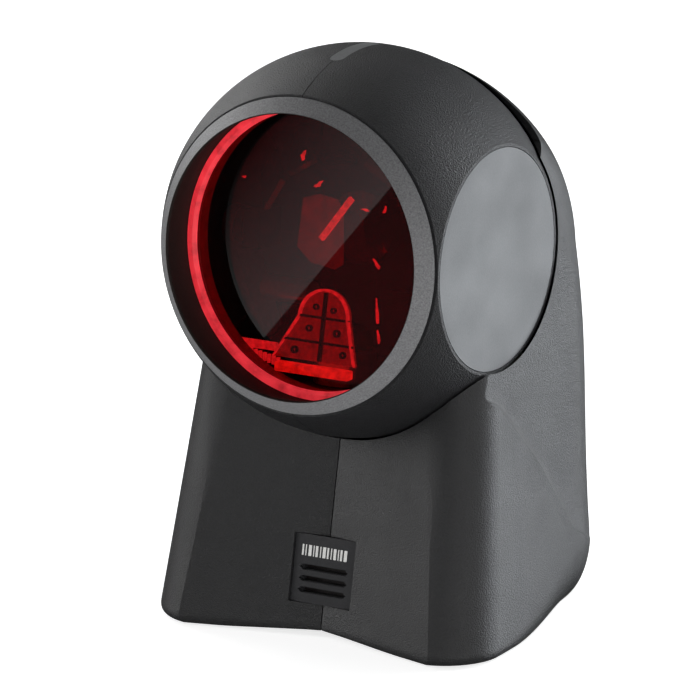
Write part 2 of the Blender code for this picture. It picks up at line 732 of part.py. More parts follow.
def make_scan_board(head, board_look, spacer_look):
    board = box((-24.0, BOARD_Y, -20.0), (24.0, BOARD_Y + BOARD_T, 22.0))
    add_object("scan_board", board, board_look, head)
    low = -FRAME_Y[1] - PART_GAP
    high = -BOARD_Y + PART_GAP
    for number, x in enumerate((-19.0, 19.0), 1):
        spacer = turned(((0.3, low), (1.5, low), (1.5, high), (0.3, high)), segments=16)
        bmesh.ops.translate(spacer, vec=(x, 0, 16.0), verts=spacer.verts)
        add_object(f"board_spacer_{number}", spacer, spacer_look, head)


def make_laser_and_motor(head, look):
    add_object("laser_module", rod("X", 3.2, -26.0, -12.0, (-1.0, -15.0)), look, head)
    body = rod("Z", MOTOR_R, -35.7, SPIN_Z - 0.4, (0.0, SPIN_Y), 28)
    motor = add_object("motor_housing", body, look, head)
    bore = rod("Z", SPINDLE_R + 0.5, -34.0, SPIN_Z + 5.0, (0.0, SPIN_Y), 20)
    cut(motor, add_cutter("cut_motor_bore", bore, head))


def make_polygon(spin, mirror_look, steel_look):
    """Pieces of the spinning body, drawn about the spin axis."""
    polygon = add_object("polygon_mirror", rod("Z", POLYGON_R, 0.0, POLYGON_H, segments=5),
                         mirror_look, spin)
    hole = rod("Z", SPINDLE_R + PART_GAP, -3.0, 9.0, segments=20)
    cut(polygon, add_cutter("cut_polygon_bore", hole, spin))
    add_object("motor_spindle", rod("Z", SPINDLE_R, -6.4, 6.2, segments=20), steel_look, spin)


# ---- assembly ----------------------------------------------------------------------------
def main():
    clear_scene()
    shell = material("charcoal_shell", (0.022, 0.022, 0.024), 0.55)
    cap = material("smooth_charcoal", (0.05, 0.052, 0.056), 0.45)
    satin = material("satin_bezel", (0.03, 0.03, 0.032), 0.4)
    cover = material("cover_plastic", (0.025, 0.025, 0.027), 0.38)
    glass = material("red_glass", (0.05, 0.003, 0.004), 0.05)
    ring = material("red_ring", (0.6, 0.02, 0.03), 0.3)
    lens = material("light_pipe", (0.35, 0.36, 0.37), 0.3)
    frame = material("frame_plastic", (0.03, 0.028, 0.028), 0.6)
    red = material("red_lit_plastic", (0.45, 0.03, 0.03), 0.45)
    mirror = material("mirror", (0.8, 0.8, 0.82), 0.05, 1.0)
    steel = material("steel", (0.55, 0.55, 0.56), 0.35, 1.0)
    zinc = material("zinc_screw", (0.6, 0.6, 0.58), 0.3, 1.0)
    rubber = material("rubber", (0.02, 0.02, 0.02), 0.9)
    board = material("circuit_board", (0.02, 0.12, 0.05), 0.5)
    socket = material("socket_plastic", (0.04, 0.04, 0.04), 0.4)

    centre = (0.0, BALL_Y, BALL_Z)
    base = axis_empty("base_frame", centre)
    head = axis_empty("head_axis", centre, -REST_TILT)
    spin = axis_empty("spin_axis", (0.0, SPIN_Y, SPIN_Z))
    spin.parent = head

    make_base_shells(base, shell)
    make_speaker_cover(base, cover)
    make_speaker(base, frame)
    make_bottom(base, shell)
    make_ballast(base, steel)
    make_feet(base, rubber)
    make_screws(base, zinc)
    make_socket(base, socket, board)
    make_arms(base, steel)
    make_washers(base, cover)
    make_pins(head, steel)
    make_head_shells(head, shell)
    make_side_caps(head, cap)
    make_light_pipe(head, lens)
    make_bezel(head, satin)
    make_window(head, glass, ring)
    make_optics_frame(head, frame)
    make_fan(head, red)
    make_strip_mirror(head, red)
    make_pattern_mirrors(head, mirror)
    make_detector(head, mirror, frame)
    make_scan_board(head, board, steel)
    make_laser_and_motor(head, steel)
    make_polygon(spin, mirror, steel)


main()
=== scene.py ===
"""Looks of the presentation barcode scanner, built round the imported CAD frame.

All shapes are drawn in millimetres about the ball head's centre and turned into metres, in the
frame's own coordinates, where the meshes are made.
"""
import json
import math

import bmesh
import bpy
import numpy as np
from mathutils import Matrix, Vector


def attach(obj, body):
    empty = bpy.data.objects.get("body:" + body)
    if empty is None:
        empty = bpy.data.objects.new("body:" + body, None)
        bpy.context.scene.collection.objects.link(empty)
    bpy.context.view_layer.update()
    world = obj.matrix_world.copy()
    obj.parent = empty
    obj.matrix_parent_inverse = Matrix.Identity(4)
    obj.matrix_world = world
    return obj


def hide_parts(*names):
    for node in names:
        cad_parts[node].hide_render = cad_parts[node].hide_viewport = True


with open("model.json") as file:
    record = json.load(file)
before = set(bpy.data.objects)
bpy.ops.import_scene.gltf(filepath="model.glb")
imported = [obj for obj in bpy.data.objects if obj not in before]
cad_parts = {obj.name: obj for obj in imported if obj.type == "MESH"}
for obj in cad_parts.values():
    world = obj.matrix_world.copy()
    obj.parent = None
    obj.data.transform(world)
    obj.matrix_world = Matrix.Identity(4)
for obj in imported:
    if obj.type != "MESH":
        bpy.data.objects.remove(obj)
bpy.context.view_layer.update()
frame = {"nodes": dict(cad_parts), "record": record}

MM = 0.001
TILT_JOINT = next(j for j in frame["record"]["behaviour"]["joints"] if j["name"] == "head_tilt")
SPIN_JOINT = next(j for j in frame["record"]["behaviour"]["joints"] if j["name"] == "polygon_spin")
CENTRE = Vector(TILT_JOINT["pos_m"])
REST_TILT = math.atan2(SPIN_JOINT["axis"][1], SPIN_JOINT["axis"][2])
HEAD_TURN = Matrix.Rotation(-REST_TILT, 3, "X")

# ---- sizes that the CAD model also has (mm) ----------------------------------------------
BALL_R = 50.0
FLAT_X = 40.6
FLAT_WALL = 1.0
WALL = 2.0
CAP_R = 28.3
BEZEL_R = 39.96
BEZEL_SKIRT_R = 39.3
BEZEL_EDGE_R = 36.32
BEZEL_EDGE_W = 33.66
MOUTH_W = 29.2
GLASS_R = 38.0
GLASS_W = 19.6
GLASS_T = 1.6
RING_INNER_R = 35.6
RING_T = 1.1
TONGUE_R = 47.8
TONGUE_T = 0.6
TONGUE_HALF_W = 1.0
PART_GAP = 0.3
SEAM_GAP = 0.3
PIPE_HALF_X = 1.9
PIPE_Y = (-15.0, 5.0)
ARM_X = (34.5, 37.5)
ARM_ANGLE = -65.0
ARM_PLAY = 1.0
ARM_SLOT_SPREAD = 25.0

CAVITY_R = 50.6
SHELL_WALL = 2.2
RIM_Z = -99.5
RIM_ARCH = 1.3
DOME_R = 51.5
DOME_Y = 6.9
DOME_Z = -4.4
HOOD_HALF_W = 41.2
HOOD_LEAN = 0.107
HOOD_FLARE = 0.02
HOOD_FULL = 3.0
HOOD_FULL_Z = -22.0
HOOD_FULL_H = 36.0
FRONT_FREEZE_Z = -25.0
COVER_HALF_W = 9.0
COVER_TOP = (-15.35, -74.2)
COVER_BOTTOM = (-18.7, -91.3)
COVER_T = 2.6
COVER_PLAY = 0.15
LOUVRES = 3
LOUVRE_PITCH = 2.9
LOUVRE_RISE = 0.75
BAR_Z = (3.2, 6.0)
BAR_START_X = -6.9


# ---- materials ---------------------------------------------------------------------------
def new_material(name):
    made = bpy.data.materials.new(name)
    made.use_nodes = True
    return made, made.node_tree.nodes, made.node_tree.links, made.node_tree.nodes["Principled BSDF"]


def noise(nodes, links, coords, scale, detail=2.0, rough=0.5):
    """Fractal noise in the object's own coordinates."""
    tex = nodes.new("ShaderNodeTexNoise")
    tex.inputs["Scale"].default_value = scale
    tex.inputs["Detail"].default_value = detail
    tex.inputs["Roughness"].default_value = rough
    links.new(coords.outputs["Object"], tex.inputs["Vector"])
    return tex


def ramp_to(nodes, links, source, low, high, target):
    """Map a 0-1 texture value to a range of the target socket."""
    span = nodes.new("ShaderNodeMapRange")
    span.inputs["From Min"].default_value = 0.3
    span.inputs["From Max"].default_value = 0.7
    span.inputs["To Min"].default_value = low
    span.inputs["To Max"].default_value = high
    links.new(source, span.inputs["Value"])
    links.new(span.outputs["Result"], target)


def tint(nodes, links, source, dark, light, target):
    blend = nodes.new("ShaderNodeValToRGB")
    blend.color_ramp.elements[0].position = 0.32
    blend.color_ramp.elements[0].color = (*dark, 1.0)
    blend.color_ramp.elements[1].position = 0.68
    blend.color_ramp.elements[1].color = (*light, 1.0)
    links.new(source, blend.inputs["Fac"])
    links.new(blend.outputs["Color"], target)


def moulded_plastic(name, dark, light, rough, grain_scale, grain_depth, specular=0.5):
    """Spark-eroded moulded plastic: fine pitted grain, faint cloudiness, uneven sheen."""
    made, nodes, links, shader = new_material(name)
    coords = nodes.new("ShaderNodeTexCoord")
    grain = noise(nodes, links, coords, grain_scale, 2.0, 0.6)
    cloud = noise(nodes, links, coords, 60.0, 3.0)
    tint(nodes, links, grain.outputs["Fac"], dark, light, shader.inputs["Base Color"])
    ramp_to(nodes, links, cloud.outputs["Fac"], rough - 0.035, rough + 0.035, shader.inputs["Roughness"])
    shader.inputs["Specular IOR Level"].default_value = specular
    bump = nodes.new("ShaderNodeBump")
    bump.inputs["Strength"].default_value = 1.0
    bump.inputs["Distance"].default_value = grain_depth
    links.new(grain.outputs["Fac"], bump.inputs["Height"])
    links.new(bump.outputs["Normal"], shader.inputs["Normal"])
    return made


def metal(name, dark, light, rough, scale):
    made, nodes, links, shader = new_material(name)
    coords = nodes.new("ShaderNodeTexCoord")
    grain = noise(nodes, links, coords, scale, 3.0)
    shader.inputs["Metallic"].default_value = 1.0
    tint(nodes, links, grain.outputs["Fac"], dark, light, shader.inputs["Base Color"])
    ramp_to(nodes, links, grain.outputs["Fac"], rough * 0.8, rough * 1.2, shader.inputs["Roughness"])
    return made


def red_glass(name):
    made, nodes, links, shader = new_material(name)
    coords = nodes.new("ShaderNodeTexCoord")
    cloud = noise(nodes, links, coords, 25.0, 2.0)
    tint(nodes, links, cloud.outputs["Fac"], (0.30, 0.016, 0.02), (0.33, 0.02, 0.024),
         shader.inputs["Base Color"])
    ramp_to(nodes, links, cloud.outputs["Fac"], 0.0, 0.02, shader.inputs["Roughness"])
    shader.inputs["Transmission Weight"].default_value = 1.0
    shader.inputs["IOR"].default_value = 1.5
    return made


def lit_plastic(name, dark, light, glow, strength, rough=0.35, scale=900.0):
    """Plastic inside the head, with a painted glow (emission) standing in for the laser's scattered light
    that picks it out.
    """
    made, nodes, links, shader = new_material(name)
    coords = nodes.new("ShaderNodeTexCoord")
    cloud = noise(nodes, links, coords, scale, 3.0, 0.6)
    tint(nodes, links, cloud.outputs["Fac"], dark, light, shader.inputs["Base Color"])
    # painted glow: the emission colour and strength stand in for light falling on the part
    tint(nodes, links, cloud.outputs["Fac"], tuple(v * 0.45 for v in glow), glow,
         shader.inputs["Emission Color"])
    shader.inputs["Emission Strength"].default_value = strength
    shader.inputs["Roughness"].default_value = rough
    return made


LOOK = {
    "shell": moulded_plastic("grained_charcoal", (0.010, 0.010, 0.011), (0.022, 0.022, 0.024),
                             0.46, 2500.0, 0.00042),
    "hood": moulded_plastic("base_charcoal", (0.011, 0.011, 0.012), (0.018, 0.018, 0.019),
                            0.44, 2700.0, 0.00022),
    "cap": moulded_plastic("smooth_charcoal", (0.040, 0.042, 0.045), (0.050, 0.052, 0.056),
                           0.50, 2600.0, 0.00002),
    "bezel": moulded_plastic("satin_charcoal", (0.11, 0.11, 0.114), (0.20, 0.20, 0.205),
                             0.42, 2400.0, 0.00020),
    # painted shade: a far darker copy of the bezel for its recessed inner wall; the higher roughness is
    # real matt finish
    "shaded_bezel_wall": moulded_plastic("matt_wall_painted_shade", (0.016, 0.011, 0.010), (0.024, 0.017, 0.015),
                                  0.7, 2100.0, 0.00006, 0.2),
    "cover": moulded_plastic("cover_satin", (0.024, 0.024, 0.026), (0.032, 0.032, 0.034),
                             0.30, 2600.0, 0.00002),
    "rubber": moulded_plastic("foot_rubber", (0.012, 0.012, 0.012), (0.020, 0.020, 0.020),
                              0.85, 1500.0, 0.00008, 0.3),
    "frame": moulded_plastic("frame_black", (0.006, 0.004, 0.004), (0.012, 0.008, 0.008),
                             0.6, 1500.0, 0.00005, 0.3),
    "pipe": moulded_plastic("frosted_pipe", (0.20, 0.205, 0.21), (0.26, 0.265, 0.27),
                            0.35, 1500.0, 0.00003),
    "print": moulded_plastic("pale_print", (0.62, 0.62, 0.60), (0.72, 0.72, 0.70),
                             0.5, 2500.0, 0.00001),
    "board": moulded_plastic("solder_mask", (0.010, 0.07, 0.03), (0.018, 0.10, 0.045),
                             0.4, 700.0, 0.00004),
    "steel": metal("plain_steel", (0.42, 0.42, 0.43), (0.55, 0.55, 0.56), 0.35, 800.0),
    "mirror": metal("dim_mirror", (0.12, 0.10, 0.10), (0.20, 0.17, 0.17), 0.08, 300.0),
    "glass": red_glass("red_filter_glass"),
    # ring: painted glow, its emission stands in for light on the red ring
    "ring": lit_plastic("ring_red_painted_glow", (0.46, 0.012, 0.02), (0.56, 0.02, 0.03), (0.80, 0.035, 0.05), 0.85,
                        scale=260.0),
    # fan: painted glow on the fan plate, standing in for light reaching it through the window
    "fan": lit_plastic("fan_red_painted_glow", (0.10, 0.01, 0.01), (0.16, 0.02, 0.02), (0.66, 0.05, 0.06), 0.9,
                       scale=700.0),
    # rib: bright painted glints, used for the fan's rim line, the comb, the mirror edge and the lit
    # corners
    "rib": lit_plastic("rib_red_painted_glint", (0.10, 0.01, 0.01), (0.16, 0.02, 0.02), (1.0, 0.20, 0.22), 2.2,
                       scale=700.0),
    # strip: painted glow on the bright foot strip
    "strip": lit_plastic("strip_red_painted_glow", (0.2, 0.01, 0.01), (0.3, 0.02, 0.02), (1.0, 0.13, 0.08), 2.6,
                         scale=500.0),
    # haze: faint painted glow on the tube behind the ring and the plate behind the mirrors
    "haze": lit_plastic("haze_red_painted_glow", (0.05, 0.004, 0.004), (0.08, 0.006, 0.006), (0.5, 0.04, 0.05),
                        0.45, scale=420.0),
}


# ---- mesh helpers ------------------------------------------------------------------------
def finish_mesh(name, bm, look, body, in_head=False, sharp=30.0, shown=True):
    """Turn a bmesh in millimetres about the ball's centre into a piece in the row frame."""
    if in_head:
        bmesh.ops.rotate(bm, cent=(0, 0, 0), matrix=HEAD_TURN, verts=bm.verts)
    bmesh.ops.scale(bm, vec=(MM, MM, MM), verts=bm.verts)
    bmesh.ops.translate(bm, vec=CENTRE, verts=bm.verts)
    bmesh.ops.recalc_face_normals(bm, faces=bm.faces)
    mesh = bpy.data.meshes.new(name)
    bm.to_mesh(mesh)
    bm.free()
    obj = bpy.data.objects.new(name, mesh)
    bpy.context.scene.collection.objects.link(obj)
    mesh.shade_smooth()
    mesh.set_sharp_from_angle(angle=math.radians(sharp))
    if shown:
        mesh.materials.append(LOOK[look])
        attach(obj, body)
    return obj


def carve(obj, cutters, sharp=28.0, operation="DIFFERENCE"):
    """Combine a piece with the cutters and keep the result as its mesh."""
    for cutter in cutters:
        modifier = obj.modifiers.new("cut", "BOOLEAN")
        modifier.operation = operation
        modifier.solver = "EXACT"
        modifier.object = cutter
    graph = bpy.context.evaluated_depsgraph_get()
    mesh = bpy.data.meshes.new_from_object(obj.evaluated_get(graph))
    obj.modifiers.clear()
    obj.data = mesh
    mesh.shade_smooth()
    mesh.set_sharp_from_angle(angle=math.radians(sharp))


def soften(obj, width_mm, segments=2, angle=32.0):
    modifier = obj.modifiers.new("edge", "BEVEL")
    modifier.width = width_mm * MM
    modifier.segments = segments
    modifier.limit_method = "ANGLE"
    modifier.angle_limit = math.radians(angle)
    modifier.harden_normals = True


def drop(objects):
    for obj in objects:
        bpy.data.objects.remove(obj, do_unlink=True)


def box(low, high):
    bm = bmesh.new()
    bmesh.ops.create_cube(bm, size=1.0)
    low = Vector(low)
    high = Vector(high)
    bmesh.ops.scale(bm, vec=high - low, verts=bm.verts)
    bmesh.ops.translate(bm, vec=(low + high) / 2.0, verts=bm.verts)
    return bm


AXIS_TURN = {
    "X": Matrix.Rotation(math.radians(90.0), 3, "Y"),
    "Y": Matrix.Rotation(math.radians(-90.0), 3, "X"),
    "Z": Matrix.Identity(3),
}


def rod(axis, radius, start, end, centre=(0.0, 0.0), segments=96):
    bm = bmesh.new()
    bmesh.ops.create_cone(bm, cap_ends=True, segments=segments, radius1=radius, radius2=radius,
                          depth=abs(end - start))
    bmesh.ops.rotate(bm, cent=(0, 0, 0), matrix=AXIS_TURN[axis], verts=bm.verts)
    middle = (start + end) / 2.0
    spot = {"X": (middle, *centre), "Y": (centre[0], middle, centre[1]), "Z": (*centre, middle)}[axis]
    bmesh.ops.translate(bm, vec=spot, verts=bm.verts)
    return bm


def ball(radius, segments=160, rings=80):
    bm = bmesh.new()
    bmesh.ops.create_uvsphere(bm, u_segments=segments, v_segments=rings, radius=radius)
    bmesh.ops.rotate(bm, cent=(0, 0, 0), matrix=AXIS_TURN["X"], verts=bm.verts)
    return bm


def slice_off(bm, point, normal):
    geometry = bm.verts[:] + bm.edges[:] + bm.faces[:]
    done = bmesh.ops.bisect_plane(bm, geom=geometry, plane_co=point, plane_no=normal,
                                  clear_outer=True)
    edges = [item for item in done["geom_cut"] if isinstance(item, bmesh.types.BMEdge)]
    bmesh.ops.contextual_create(bm, geom=edges)
    return bm


def turned(profile, axis="Y", segments=144):
    """Revolve a closed outline of (radius, position) points; positions run along -Y or +Z."""
    bm = bmesh.new()
    rings = []
    for step in range(segments):
        angle = 2.0 * math.pi * step / segments
        ring = []
        for radius, place in profile:
            across = radius * math.cos(angle)
            along = radius * math.sin(angle)
            spot = (across, -place, along) if axis == "Y" else (across, along, place)
            ring.append(bm.verts.new(spot))
        rings.append(ring)
    for step in range(segments):
        here = rings[step]
        there = rings[(step + 1) % segments]
        for i in range(len(profile)):
            j = (i + 1) % len(profile)
            bm.faces.new((here[i], here[j], there[j], there[i]))
    return bm


def prism(outline, low, high, axis):
    """Extrude an outline along X (points y, z), Y (points x, z) or Z (points x, y)."""
    place = {"X": lambda a, b: (low, a, b), "Y": lambda a, b: (a, low, b), "Z": lambda a, b: (a, b, low)}
    shift = {"X": (high - low, 0, 0), "Y": (0, high - low, 0), "Z": (0, 0, high - low)}
    bm = bmesh.new()
    face = bm.faces.new([bm.verts.new(place[axis](a, b)) for a, b in outline])
    grown = bmesh.ops.extrude_face_region(bm, geom=[face])
    moved = [item for item in grown["geom"] if isinstance(item, bmesh.types.BMVert)]
    bmesh.ops.translate(bm, vec=shift[axis], verts=moved)
    return bm


def joined(parts):
    """One bmesh from several."""
    whole = bmesh.new()
    for part in parts:
        mesh = bpy.data.meshes.new("part")
        part.to_mesh(mesh)
        part.free()
        whole.from_mesh(mesh)
        bpy.data.meshes.remove(mesh)
    return whole


def smooth_step(value, low, high):
    t = min(max((value - low) / (high - low), 0.0), 1.0)
    return t * t * (3.0 - 2.0 * t)


# ---- base shell surface ------------------------------------------------------------------
def seam_front_y(z):
    return -9.0 + 0.199 * (z + 49.8)


def crease(z):
    fall = -37.3 - z
    return 30.1 + 0.117 * fall, -14.1 - 0.228 * fall


def skirt_half_width(z):
    return 43.0 + 0.098 * (-33.0 - z)


def column_centre_y(z):
    return -5.7 + 0.158 * (z + 54.0)


def hood_section(z):
    """Circle centre, circle radius and flat half width of the hood at a height."""
    fall = max(DOME_Z - z, 0.0)
    rise = max(z - DOME_Z, 0.0)
    full = HOOD_FULL * math.exp(-((z - HOOD_FULL_Z) / HOOD_FULL_H) ** 2)
    radius = math.sqrt(max(DOME_R ** 2 - rise ** 2, 0.01)) + HOOD_FLARE * fall + full
    return DOME_Y + HOOD_LEAN * fall, radius, HOOD_HALF_W + HOOD_FLARE * fall


def skirt_point(u, z):
    """Point of the skirt's outline: u 0-1 front panel, 1-2 column, 2-3 side and back."""
    z = min(z, FRONT_FREEZE_Z)
    crease_x, crease_y = crease(z)
    half = skirt_half_width(z)
    side_y = column_centre_y(z)
    if u <= 1.0:
        return u * crease_x, (1.0 - u) * seam_front_y(z) + u * crease_y
    run = side_y - crease_y
    reach = half - crease_x
    radius = (run ** 2 + reach ** 2) / (2.0 * reach)
    if u <= 2.0:
        start = math.asin(min(run / radius, 1.0))
        angle = -start * (2.0 - u)
        return half - radius + radius * math.cos(angle), side_y + radius * math.sin(angle)
    centre_y, circle, _ = hood_section(z)
    back = centre_y + circle
    power = 2.0 / 3.2
    angle = (u - 2.0) * math.pi / 2.0
    x = half * max(math.cos(angle), 0.0) ** power
    y = side_y + (back - side_y) * math.sin(angle) ** power
    return x, y


def hood_radius(direction, z):
    _, circle, half = hood_section(z)
    side = half / max(abs(direction), 0.05)
    return (circle ** -18.0 + side ** -18.0) ** (-1.0 / 18.0)


SHOULDER = ((-60.0, -31.0), (-12.0, -31.5), (-9.0, -33.0), (-2.0, -38.0), (14.0, -54.0),
            (22.0, -63.0), (36.0, -78.0), (48.0, -84.0), (80.0, -86.0))
LEDGE_H = 0.4
EDGE_FILLET = 0.5
ROOT_FILLET = 10.0
STEP_PROUD = 3.2
STEP_END_Y = 56.0
SKIN = 0.02


def shoulder_z(u):
    z = -60.0
    for _ in range(6):
        y = skirt_point(u, z)[1]
        z = float(np.interp(y, [p[0] for p in SHOULDER], [p[1] for p in SHOULDER]))
    return z


def rim_z(u):
    return RIM_Z + RIM_ARCH * (1.0 - smooth_step(u, 0.0, 0.9))


def shell_point(u, z, proud_part):
    """Outer surface of the base; proud_part 1 is the skirt, 0 the hood, between is the step."""
    x, y = skirt_point(u, z)
    centre_y = hood_section(z)[0]
    distance = math.hypot(x, y - centre_y)
    across = x / distance
    along = (y - centre_y) / distance
    hood = hood_radius(across, z)
    if u <= 2.0:
        hood = min(hood, distance)
    side_start = column_centre_y(min(z, FRONT_FREEZE_Z))
    least = STEP_PROUD * smooth_step(y, side_start, side_start + 24.0)
    fade = 1.0 - min(max(y / STEP_END_Y, 0.0), 1.0) ** 1.2
    radius = hood + max(distance - hood, least) * fade * proud_part
    rear = smooth_step(y, -18.0, 55.0)
    round_h = 3.0 + 17.0 * rear
    round_in = 2.6 + 7.4 * rear
    sunk = min(max((RIM_Z + round_h - z) / round_h, 0.0), 1.0)
    radius -= round_in * (1.0 - math.sqrt(1.0 - sunk ** 2))
    return across * radius, centre_y + along * radius


def outline_steps(fine):
    panel = [i / (8.0 * fine) for i in range(int(8 * fine))]
    column = [1.0 + i / (12.0 * fine) for i in range(int(12 * fine))]
    rest = [2.0 + i / (26.0 * fine) for i in range(int(26 * fine))]
    return panel + column + rest + [3.0]


def shell_rows(fine, inset=0.0):
    """Sections of the base's outer surface, from the rim to the top of the dome."""
    steps = outline_steps(fine)
    tops = {u: shoulder_z(u) for u in steps}
    lower = [0.5 - 0.5 * math.cos(math.pi * i / (22.0 * fine)) for i in range(int(22 * fine))]
    rows = []
    for part in lower:
        rows.append([(u, rim_z(u) + part * (tops[u] - EDGE_FILLET - rim_z(u)), 1.0) for u in steps])
    for i in range(8):
        bend = math.radians(90.0 * i / 8.0)
        rows.append([(u, tops[u] - EDGE_FILLET * (1.0 - math.sin(bend)),
                      1.0 - 0.25 * (1.0 - math.cos(bend))) for u in steps])
    for i in range(0, 13):
        part = i / 12.0
        rows.append([(u, tops[u] + LEDGE_H * part + ROOT_FILLET * part ** 2,
                      0.75 * (1.0 - part) ** 2) for u in steps])
    start = LEDGE_H + ROOT_FILLET
    for i in range(1, int(14 * fine) + 1):
        part = i / (14.0 * fine)
        rows.append([(u, tops[u] + start + part * (DOME_Z - tops[u] - start), 0.0) for u in steps])
    for i in range(1, int(18 * fine)):
        angle = math.radians(86.0) * i / (18.0 * fine)
        rows.append([(u, DOME_Z + DOME_R * math.sin(angle), 0.0) for u in steps])
    sections = []
    for row in rows:
        section = []
        for u, z, part in row:
            x, y = shell_point(u, z, part)
            if inset:
                centre_y = hood_section(z)[0]
                distance = math.hypot(x, y - centre_y)
                scale = max(distance - inset, 0.3) / distance
                x *= scale
                y = centre_y + (y - centre_y) * scale
                if z > DOME_Z:
                    z = DOME_Z + (z - DOME_Z) * (DOME_R - inset) / DOME_R
            section.append((x, y, z))
        sections.append(section)
    return sections


def loft(sections):
    bm = bmesh.new()
    rings = [[bm.verts.new(point) for point in section] for section in sections]
    count = len(rings[0])
    for low, high in zip(rings[:-1], rings[1:]):
        for i in range(count):
            j = (i + 1) % count
            bm.faces.new((low[i], low[j], high[j], high[i]))
    bm.faces.new(reversed(rings[0]))
    bm.faces.new(rings[-1])
    return bm


FRONT_CUT = ((-75.0, 62.0), (22.0, 62.0), (22.8, 46.0), (25.0, 35.3), (26.5, 29.0), (26.0, 25.0),
             (21.0, 21.0), (0.0, 15.0), (-75.0, 15.0))


def cover_frame():
    run = COVER_BOTTOM[0] - COVER_TOP[0]
    rise = COVER_BOTTOM[1] - COVER_TOP[1]
    middle = ((COVER_TOP[0] + COVER_BOTTOM[0]) / 2.0, (COVER_TOP[1] + COVER_BOTTOM[1]) / 2.0)
    return middle, math.atan2(run, rise) - math.pi, math.hypot(run, rise)


def lean(bm):
    """Move a piece drawn about the cover's front face to its leaning place."""
    (y, z), angle, _ = cover_frame()
    bmesh.ops.rotate(bm, cent=(0, 0, 0), matrix=Matrix.Rotation(-angle, 3, "X"), verts=bm.verts)
    bmesh.ops.translate(bm, vec=(0, y, z), verts=bm.verts)
    return bm


# ---- pieces of the base ------------------------------------------------------------------
def make_base():
    fine = 2.5
    inner = shell_rows(1.0, SHELL_WALL)
    inner = [[(x, y, RIM_Z - 2.0) for x, y, _ in inner[0]]] + inner
    room = finish_mesh("c_room", loft([row + [(-x, y, z) for x, y, z in reversed(row[1:-1])]
                                       for row in inner]), None, None, shown=False)
    seat = finish_mesh("c_seat", ball(CAVITY_R, 200, 100), None, None, shown=False)
    front = finish_mesh("c_front", prism(FRONT_CUT, -70.0, 70.0, "X"), None, None, shown=False)
    half_h = cover_frame()[2] / 2.0 + COVER_PLAY
    half_w = COVER_HALF_W + COVER_PLAY
    window = finish_mesh("c_window", lean(box((-half_w, -6.0, -half_h), (half_w, 14.0, half_h))),
                         None, None, shown=False)
    outer = shell_rows(fine, SKIN)
    for word, side in (("right", 1), ("left", -1)):
        rows = [[(side * max(x, SEAM_GAP / 2.0), y, z) for x, y, z in row] for row in outer]
        shell = finish_mesh(f"base_housing_{word}", loft(rows), "hood", "root")
        carve(shell, (room, seat, front, window), sharp=17.0)
        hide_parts(f"base_shell_{word}")
    drop((room, seat, front, window))


def make_cover():
    half_h = cover_frame()[2] / 2.0
    cover = finish_mesh("speaker_grille", lean(box((-COVER_HALF_W, 0.0, -half_h),
                                                   (COVER_HALF_W, COVER_T, half_h))), "cover", "root")
    cutters = []
    for number in range(LOUVRES):
        middle = PART_GAP - LOUVRE_PITCH * number
        wedge = [(-1.0, middle - LOUVRE_RISE), (-1.0, middle + LOUVRE_RISE), (0.0, middle + LOUVRE_RISE),
                 (3.4, middle + 1.4), (3.4, middle - 0.2), (0.0, middle - LOUVRE_RISE)]
        slot = prism(wedge, -6.4, 6.4, "X")
        tip = prism([(-7.2, middle), (-6.0, middle - LOUVRE_RISE), (6.0, middle - LOUVRE_RISE),
                     (7.2, middle), (6.0, middle + LOUVRE_RISE), (-6.0, middle + LOUVRE_RISE)],
                    -0.5, 0.9, "Y")
        cutters.append(finish_mesh(f"c_slot_{number}", lean(slot), None, None, shown=False))
        cutters.append(finish_mesh(f"c_tip_{number}", lean(tip), None, None, shown=False))
    carve(cover, cutters)
    soften(cover, 0.14)
    drop(cutters)
    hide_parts("speaker_cover")
    bars = []
    x = BAR_START_X
    for thick, gap in ((0.5, 0.5), (0.3, 0.6), (0.9, 0.5), (0.3, 0.4), (0.7, 0.6), (0.3, 0.5), (0.9, 0.4),
                       (0.5, 0.6), (0.3, 0.5), (0.8, 0.5), (0.3, 0.4), (0.6, 0.5), (0.9, 0.3)):
        bars.append(box((x, -0.03, BAR_Z[0]), (x + thick, 0.3, BAR_Z[1])))
        x += thick + gap
    mark = finish_mesh("cover_print_bars", lean(joined(bars)), "print", "root")
    backing = finish_mesh("cover_gauze", lean(box((-8.0, COVER_T + 0.1, -half_h + 0.6),
                                                  (8.0, COVER_T + 0.5, 2.6))), "frame", "root")


# ---- pieces of the head ------------------------------------------------------------------
def pipe_outline(grow):
    """Seen from above, the light pipe's lens is a slim stadium."""
    half = PIPE_HALF_X + grow
    low = PIPE_Y[0] - grow + half
    high = PIPE_Y[1] + grow - half
    points = [(half * math.cos(math.radians(a)), high + half * math.sin(math.radians(a)))
              for a in range(0, 181, 15)]
    points += [(half * math.cos(math.radians(a)), low + half * math.sin(math.radians(a)))
               for a in range(180, 361, 15)]
    return points


def arm_slot_outline():
    """Sector that a pivot arm sweeps through the ball's wall over the tilt travel."""
    outer = []
    inner = []
    for step in range(13):
        angle = math.radians(ARM_ANGLE + ARM_SLOT_SPREAD * (step / 6.0 - 1.0)) + REST_TILT
        outer.append((60.0 * math.cos(angle), 60.0 * math.sin(angle)))
        inner.append((26.0 * math.cos(angle), 26.0 * math.sin(angle)))
    return outer + inner[::-1]


